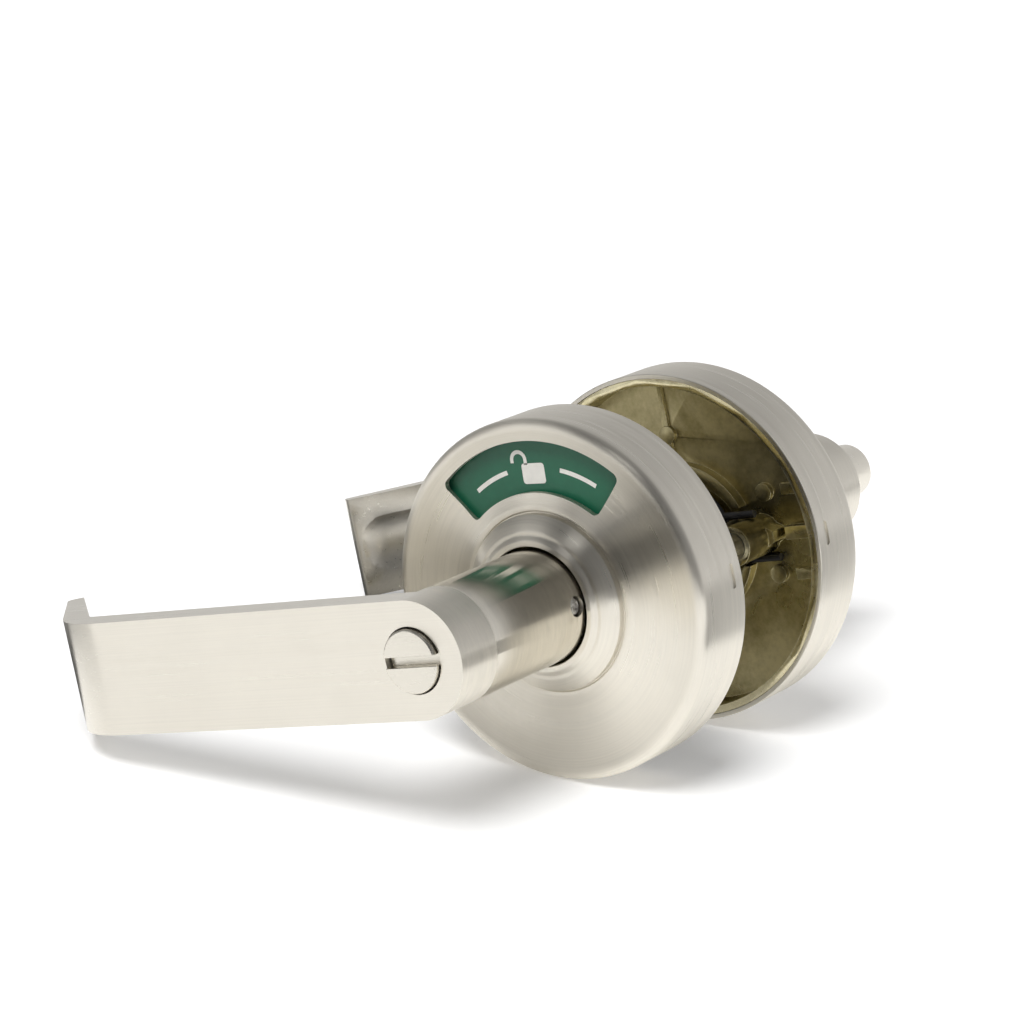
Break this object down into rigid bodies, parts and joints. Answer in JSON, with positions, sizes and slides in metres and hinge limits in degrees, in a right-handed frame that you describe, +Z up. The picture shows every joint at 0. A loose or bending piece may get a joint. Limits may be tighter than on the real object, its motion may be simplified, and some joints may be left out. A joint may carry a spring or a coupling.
{
  "type": "door lock",
  "caption": "Privacy lever lock for an interior door: round roses with returned levers, an arc indicator window, a coin turn outside and a push button inside.",
  "frame": {"origin": "on the lock's axis, in the middle of the door's thickness", "axes": "+Y along the axis from the outside trim to the inside trim, +Z up, both levers point to -X"},
  "size_m": [0.1799, 0.1955, 0.0888],
  "materials": {
    "satin_nickel": "satin nickel, brushed",
    "yellow_zinc": "die-cast zinc, yellow passivated, mottled",
    "plated_steel": "zinc plated steel",
    "black_steel": "black oxide spring steel",
    "bronze": "sintered bronze",
    "nylon": "moulded nylon",
    "green_label": "printed label under a clear film",
    "red_label": "printed label under a clear film",
    "button_nickel": "satin nickel, turned"
  },
  "bodies": {
    "trims": {"outside_rose": "satin_nickel", "outside_plate": "yellow_zinc", "threaded_posts": "plated_steel", "outside_bushing": "bronze", "outside_washer": "nylon", "outside_return_spring": "black_steel", "inside_rose": "satin_nickel", "inside_plate": "yellow_zinc", "inside_bushing": "bronze", "inside_washer": "nylon", "inside_return_spring": "black_steel", "mounting_screws": "plated_steel"},
    "outside_lever": {"outside_lever": "satin_nickel", "outside_spindle": "plated_steel", "clutch_hub": "plated_steel", "outside_spring_cam": "plated_steel", "outside_retaining_ring": "black_steel", "outside_catch_spring": "black_steel"},
    "coin_turn": {"coin_turn": "button_nickel", "tailpiece": "plated_steel", "coin_turn_clip": "black_steel"},
    "outside_catch": {"outside_catch_pin": "plated_steel"},
    "indicator": {"indicator_disc": "plated_steel", "green_label": "green_label", "red_label": "red_label", "indicator_driver": "plated_steel"},
    "inside_lever": {"inside_lever": "satin_nickel", "inside_spindle": "plated_steel", "inside_spring_cam": "plated_steel", "inside_retaining_ring": "black_steel", "drive_bar": "plated_steel", "inside_catch_spring": "black_steel", "button_guide": "nylon", "button_spring": "black_steel"},
    "push_button": {"push_button": "button_nickel", "lock_rod": "plated_steel", "cross_pin": "plated_steel"},
    "inside_catch": {"inside_catch_pin": "plated_steel"}
  },
  "joints": [
    {"name": "outside_lever_turn", "type": "hinge", "parent": "trims", "child": "outside_lever", "pos_m": [0, 0, 0], "axis": [0, 1, 0], "range_deg": [-45, 45], "stiffness_Nm_per_rad": 3, "deforming": ["outside_return_spring"]},
    {"name": "inside_lever_turn", "type": "hinge", "parent": "trims", "child": "inside_lever", "pos_m": [0, 0, 0], "axis": [0, 1, 0], "range_deg": [-45, 45], "stiffness_Nm_per_rad": 3, "deforming": ["inside_return_spring"]},
    {"name": "button_push", "type": "slide", "parent": "inside_lever", "child": "push_button", "axis": [0, -1, 0], "range_m": [0, 0.006], "stiffness_N_per_m": 300, "springref_m": -0.004, "deforming": ["button_spring"]},
    {"name": "coin_turn_turn", "type": "hinge", "parent": "outside_lever", "child": "coin_turn", "pos_m": [0, 0, 0], "axis": [0, 1, 0], "range_deg": [0, 90]},
    {"name": "indicator_turn", "type": "hinge", "parent": "trims", "child": "indicator", "pos_m": [0, 0, 0], "axis": [0, 1, 0], "range_deg": [0, 90]},
    {"name": "outside_catch_press", "type": "slide", "parent": "outside_lever", "child": "outside_catch", "axis": [-1, 0, 0], "range_m": [0, 0.0035], "stiffness_N_per_m": 400, "springref_m": -0.001, "deforming": ["outside_catch_spring"]},
    {"name": "inside_catch_press", "type": "slide", "parent": "inside_lever", "child": "inside_catch", "axis": [-1, 0, 0], "range_m": [0, 0.0035], "stiffness_N_per_m": 400, "springref_m": -0.001, "deforming": ["inside_catch_spring"]}
  ],
  "couplings": [
    {"joint": "coin_turn_turn", "follows": "button_push", "rad_per_m": 261.8},
    {"joint": "indicator_turn", "follows": "button_push", "rad_per_m": 261.8}
  ]
}
